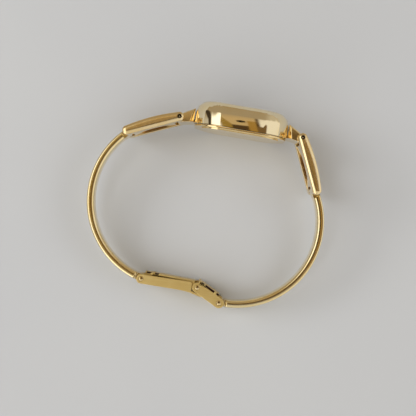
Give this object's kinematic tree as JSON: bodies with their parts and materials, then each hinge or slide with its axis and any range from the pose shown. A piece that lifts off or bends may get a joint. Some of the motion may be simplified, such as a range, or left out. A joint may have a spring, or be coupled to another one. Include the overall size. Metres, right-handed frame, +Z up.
{
  "type": "bangle watch",
  "caption": "Slim gold-tone bangle watch with a cushion case, rigid lugs, open links, curved bars and a fold-over clasp",
  "frame": {"origin": "middle of the footprint, on the table that the watch lies on", "axes": "+Z up from the table as the watch lies on its flank, +X along the bangle's long side from the 12 to the 6 o'clock end, +Y towards the dial side"},
  "size_m": [0.0614, 0.0534, 0.0188],
  "materials": {
    "polished_gold": "polished gold plate",
    "satin_gold": "brushed gold plate",
    "steel": "turned",
    "brass": "machined",
    "crystal": "clear mineral glass",
    "dial": "champagne sunray",
    "seal": "smooth",
    "holder": "moulded",
    "copper": "enamelled wire",
    "circuit": "board"
  },
  "bodies": {
    "case": {"case_body": "polished_gold", "lug_left": "polished_gold", "lug_right": "polished_gold", "crystal": "crystal", "crystal_gasket": "seal", "dial": "dial", "dial_markers": "polished_gold", "caseback": "polished_gold", "caseback_gasket": "seal", "movement_ring": "holder", "main_plate": "brass", "train_bridge": "brass", "bridge_screws": "steel", "battery": "steel", "battery_clamp": "steel", "circuit_board": "circuit", "coil": "copper", "stator": "steel", "crown_tube": "steel", "crown_gasket": "seal"},
    "link_left": {"link_left": "polished_gold", "lug_pin_left": "steel", "bar_pin_left": "polished_gold"},
    "bar_left": {"bar_left": "polished_gold"},
    "clasp_leaf": {"clasp_leaf": "satin_gold"},
    "clasp_cover": {"clasp_cover": "satin_gold", "cover_pin": "polished_gold"},
    "link_right": {"link_right": "polished_gold", "lug_pin_right": "steel", "bar_pin_right": "polished_gold"},
    "bar_right": {"bar_right": "polished_gold"},
    "end_link": {"end_link": "satin_gold", "end_pin": "polished_gold", "latch_pin": "polished_gold"},
    "minute_work": {"centre_wheel": "brass", "minute_hand": "polished_gold"},
    "hour_work": {"hour_wheel": "brass", "hour_hand": "polished_gold"},
    "third_wheel": {"third_wheel": "brass"},
    "fifth_wheel": {"fifth_wheel": "brass"},
    "rotor": {"rotor": "steel"},
    "minute_wheel": {"minute_wheel": "brass"},
    "setting_wheel": {"setting_wheel": "brass"},
    "setting_yoke": {"setting_yoke": "steel"},
    "crown": {"crown": "polished_gold", "stem": "steel"}
  },
  "joints": [
    {"name": "lug_hinge_left", "type": "hinge", "parent": "case", "child": "link_left", "pos_m": [-0.00657, 0.02226, 0.00932], "axis": [0.021, 0.1218, -0.9923], "range_deg": [0, 34]},
    {"name": "bar_hinge_left", "type": "hinge", "parent": "link_left", "child": "bar_left", "pos_m": [-0.01993, 0.01885, 0.00862], "axis": [0.021, 0.1218, -0.9923], "range_deg": [0, 46]},
    {"name": "leaf_hinge", "type": "hinge", "parent": "bar_left", "child": "clasp_leaf", "pos_m": [-0.01649, -0.01877, 0.00407], "axis": [0.021, 0.1218, -0.9923], "range_deg": [0, 30]},
    {"name": "cover_hinge", "type": "hinge", "parent": "clasp_leaf", "child": "clasp_cover", "pos_m": [-0.01649, -0.01877, 0.00407], "axis": [0.021, 0.1218, -0.9923], "range_deg": [0, 90]},
    {"name": "lug_hinge_right", "type": "hinge", "parent": "case", "child": "link_right", "pos_m": [0.02467, 0.01686, 0.00932], "axis": [-0.021, -0.1218, 0.9923], "range_deg": [0, 76]},
    {"name": "bar_hinge_right", "type": "hinge", "parent": "link_right", "child": "bar_right", "pos_m": [0.02823, 0.00362, 0.00777], "axis": [-0.021, -0.1218, 0.9923], "range_deg": [0, 20]},
    {"name": "end_hinge", "type": "hinge", "parent": "bar_right", "child": "end_link", "pos_m": [0.00345, -0.02497, 0.00373], "axis": [0.021, 0.1218, -0.9923], "range_deg": [0, 35]},
    {"name": "crown_pull", "type": "slide", "parent": "case", "child": "setting_yoke", "axis": [0.021, 0.1218, -0.9923], "range_m": [0, 0.0008]},
    {"name": "crown_turn", "type": "hinge", "parent": "setting_yoke", "child": "crown", "pos_m": [0.00934, 0.02128, 0.00036], "axis": [0.021, 0.1218, -0.9923], "continuous": true},
    {"name": "minute_turn", "type": "hinge", "parent": "case", "child": "minute_work", "pos_m": [0.00886, 0.01847, 0.00918], "axis": [-0.1689, -0.9779, -0.1236], "continuous": true},
    {"name": "hour_turn", "type": "hinge", "parent": "case", "child": "hour_work", "pos_m": [0.00886, 0.01847, 0.00918], "axis": [-0.1689, -0.9779, -0.1236], "continuous": true},
    {"name": "third_turn", "type": "hinge", "parent": "case", "child": "third_wheel", "pos_m": [0.01004, 0.01799, 0.01133], "axis": [-0.1689, -0.9779, -0.1236], "continuous": true},
    {"name": "fifth_turn", "type": "hinge", "parent": "case", "child": "fifth_wheel", "pos_m": [0.01227, 0.01756, 0.01172], "axis": [-0.1689, -0.9779, -0.1236], "continuous": true},
    {"name": "rotor_turn", "type": "hinge", "parent": "case", "child": "rotor", "pos_m": [0.01313, 0.01759, 0.01026], "axis": [-0.1689, -0.9779, -0.1236], "continuous": true},
    {"name": "minute_wheel_turn", "type": "hinge", "parent": "case", "child": "minute_wheel", "pos_m": [0.00717, 0.01888, 0.00819], "axis": [-0.1689, -0.9779, -0.1236], "continuous": true},
    {"name": "setting_turn", "type": "hinge", "parent": "case", "child": "setting_wheel", "pos_m": [0.00761, 0.01909, 0.00594], "axis": [-0.1689, -0.9779, -0.1236], "continuous": true}
  ],
  "couplings": [
    {"joint": "hour_turn", "follows": "minute_turn", "ratio": 0.083333},
    {"joint": "third_turn", "follows": "minute_turn", "ratio": -4},
    {"joint": "fifth_turn", "follows": "minute_turn", "ratio": 19},
    {"joint": "rotor_turn", "follows": "minute_turn", "ratio": -61.75},
    {"joint": "minute_wheel_turn", "follows": "minute_turn", "ratio": -0.33333},
    {"joint": "setting_turn", "follows": "minute_turn", "ratio": 0.625}
  ]
}
